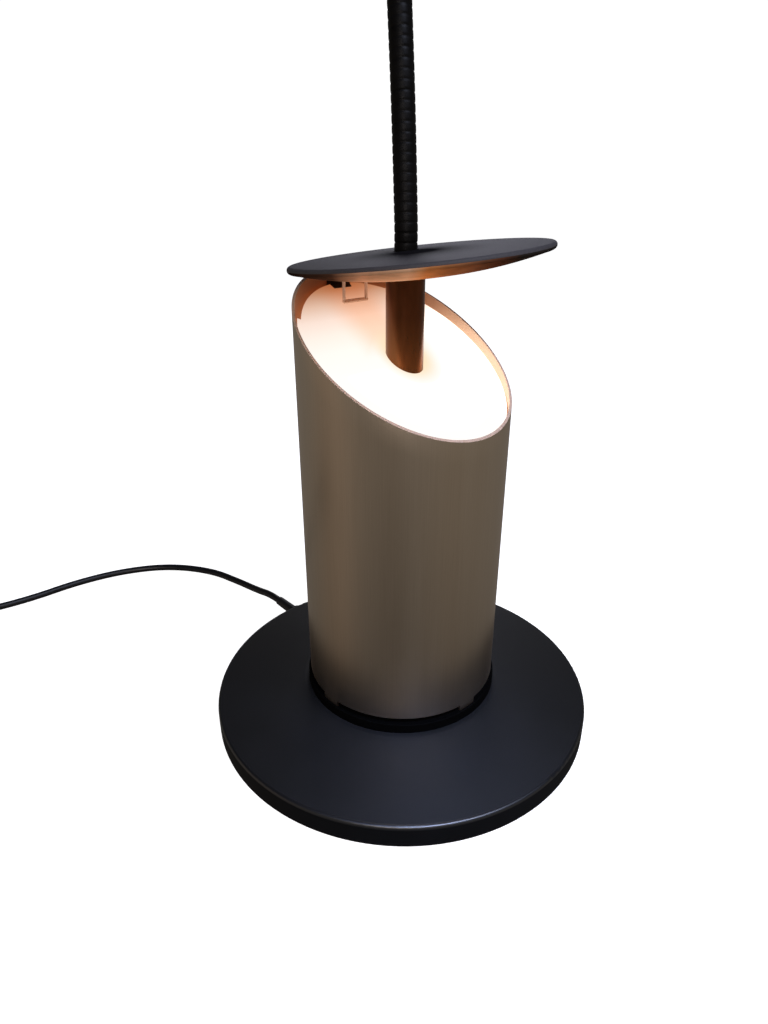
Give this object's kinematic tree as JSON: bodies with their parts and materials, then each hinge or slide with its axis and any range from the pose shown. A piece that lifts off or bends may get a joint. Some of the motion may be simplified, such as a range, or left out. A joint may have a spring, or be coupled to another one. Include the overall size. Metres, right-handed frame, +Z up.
{
  "type": "table lamp",
  "caption": "Table lamp: slant-cut metal tube with a lit diffuser on a round base, a lens-shaped reflector on its stem, and a gooseneck with a small reading head.",
  "frame": {"origin": "on the floor, under the middle of the round base", "axes": "+Z up; -Y is the front, where the tube's slanted top is low; +Y is the back, where the cord leaves"},
  "size_m": [0.4941, 0.5151, 0.5463],
  "materials": {
    "base_paint": "satin black paint",
    "pad": "matt black rubber sheet",
    "fastener": "zinc plated",
    "ballast": "raw cast",
    "tube_metal": "fine vertical brushing, champagne toned lacquer",
    "opal": "opal acrylic, satin surface",
    "wire": "bright steel wire and strip",
    "black_metal": "satin black paint",
    "reflector_paint": "spun aluminium, black satin finish",
    "neck_black": "black, fine spiral ribs",
    "lampholder_white": "white moulding",
    "bulb_glass": "opal glass",
    "cord_black": "black flexible sheath, slight sheen",
    "plug_black": "matt black moulding",
    "brass": "nickel plated brass"
  },
  "bodies": {
    "base": {"base_shell": "base_paint", "base_cover": "fastener", "base_screws": "fastener", "base_pad": "pad", "ballast_plate": "ballast", "tube_seat": "base_paint", "seat_screws": "fastener", "body_tube": "tube_metal", "diffuser_lugs": "tube_metal", "diffuser": "opal", "diffuser_handle": "wire", "diffuser_catch": "plug_black", "stem": "black_metal", "stem_washer": "fastener", "stem_nut": "fastener", "lampholder_bracket": "fastener", "lampholder": "lampholder_white", "bulb": "bulb_glass", "cord_gland": "plug_black", "cord_clamp": "plug_black", "terminal_block": "lampholder_white", "supply_lead": "cord_black", "cord_lead": "cord_black", "switch_lower": "plug_black", "switch_upper": "plug_black", "cord_link": "cord_black", "cord_coil": "cord_black", "coil_tie": "plug_black", "cord_tail": "cord_black", "plug_relief": "plug_black", "plug_body": "plug_black", "plug_pins": "brass"},
    "reflector": {"reflector_cover": "reflector_paint", "reflector_pan": "reflector_paint", "reflector_hub": "black_metal"},
    "neck_root": {"neck_foot": "black_metal", "gooseneck_lower": "neck_black"},
    "neck_arm": {"gooseneck_middle": "neck_black", "gooseneck_upper": "neck_black"},
    "head": {"neck_ferrule": "black_metal", "head_cap": "black_metal", "head_shell": "tube_metal", "head_socket": "lampholder_white", "head_bulb": "bulb_glass"},
    "button": {"head_button": "plug_black"},
    "rocker": {"switch_rocker": "plug_black"}
  },
  "joints": [
    {"name": "reflector_turn", "type": "hinge", "parent": "base", "child": "reflector", "pos_m": [0, 0, 0.2765], "axis": [0, 0, 1], "range_deg": [-170, 170]},
    {"name": "neck_turn", "type": "hinge", "parent": "base", "child": "neck_root", "pos_m": [0, 0, 0.2825], "axis": [0, 0, 1], "range_deg": [-170, 170]},
    {"name": "neck_bend_lower", "type": "hinge", "parent": "neck_root", "child": "neck_arm", "pos_m": [0.00174, 0.00299, 0.3227], "axis": [0.8643, -0.503, 0], "range_deg": [-30, 30], "deforming": ["gooseneck_lower"]},
    {"name": "neck_bend_upper", "type": "hinge", "parent": "neck_arm", "child": "head", "pos_m": [0.00103, 0.00177, 0.52181], "axis": [0.8643, -0.503, 0], "range_deg": [-50, 50], "deforming": ["gooseneck_upper"]},
    {"name": "button_press", "type": "slide", "parent": "head", "child": "button", "axis": [-0.3494, -0.6004, -0.7193], "range_m": [0, 0.0015], "stiffness_N_per_m": 300, "springref_m": -0.003},
    {"name": "rocker_tip", "type": "hinge", "parent": "base", "child": "rocker", "pos_m": [-0.25626, 0.32702, 0.014], "axis": [-0.3256, -0.9455, 0], "range_deg": [0, 18]}
  ]
}
